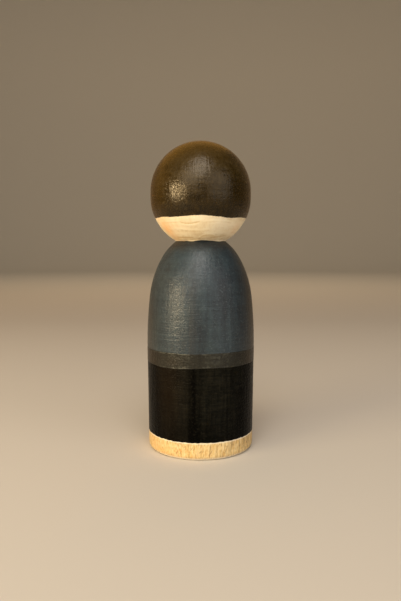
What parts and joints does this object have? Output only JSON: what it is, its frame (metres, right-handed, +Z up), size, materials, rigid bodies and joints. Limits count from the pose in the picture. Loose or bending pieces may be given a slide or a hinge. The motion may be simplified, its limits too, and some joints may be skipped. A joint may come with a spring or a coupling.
{
  "type": "peg doll",
  "caption": "Painted wooden peg doll: turned body with bent-in shoulders, doweled ball head, and thin paint coats for skin, hair, shirt, belt and trousers.",
  "frame": {"origin": "centre of the foot, on the surface that the doll stands on", "axes": "+Z up along the doll's turned axis; +Y out of the face side, so the back of the doll faces -Y; +X to the right as seen from behind"},
  "size_m": [0.03, 0.0302, 0.085],
  "materials": {
    "turned_timber": "bare, sanded",
    "dowel_timber": "bare, sanded",
    "skin_paint": "brushed satin paint",
    "hair_paint": "brushed satin paint",
    "shirt_paint": "brushed satin paint",
    "trousers_paint": "brushed satin paint",
    "belt_paint": "brushed satin paint"
  },
  "bodies": {
    "root": {"body_peg": "turned_timber", "head_ball": "turned_timber", "neck_dowel": "dowel_timber", "skin_coat": "skin_paint", "hair_coat": "hair_paint", "shirt_coat": "shirt_paint", "trousers_coat": "trousers_paint", "belt_coat": "belt_paint"}
  },
  "joints": []
}
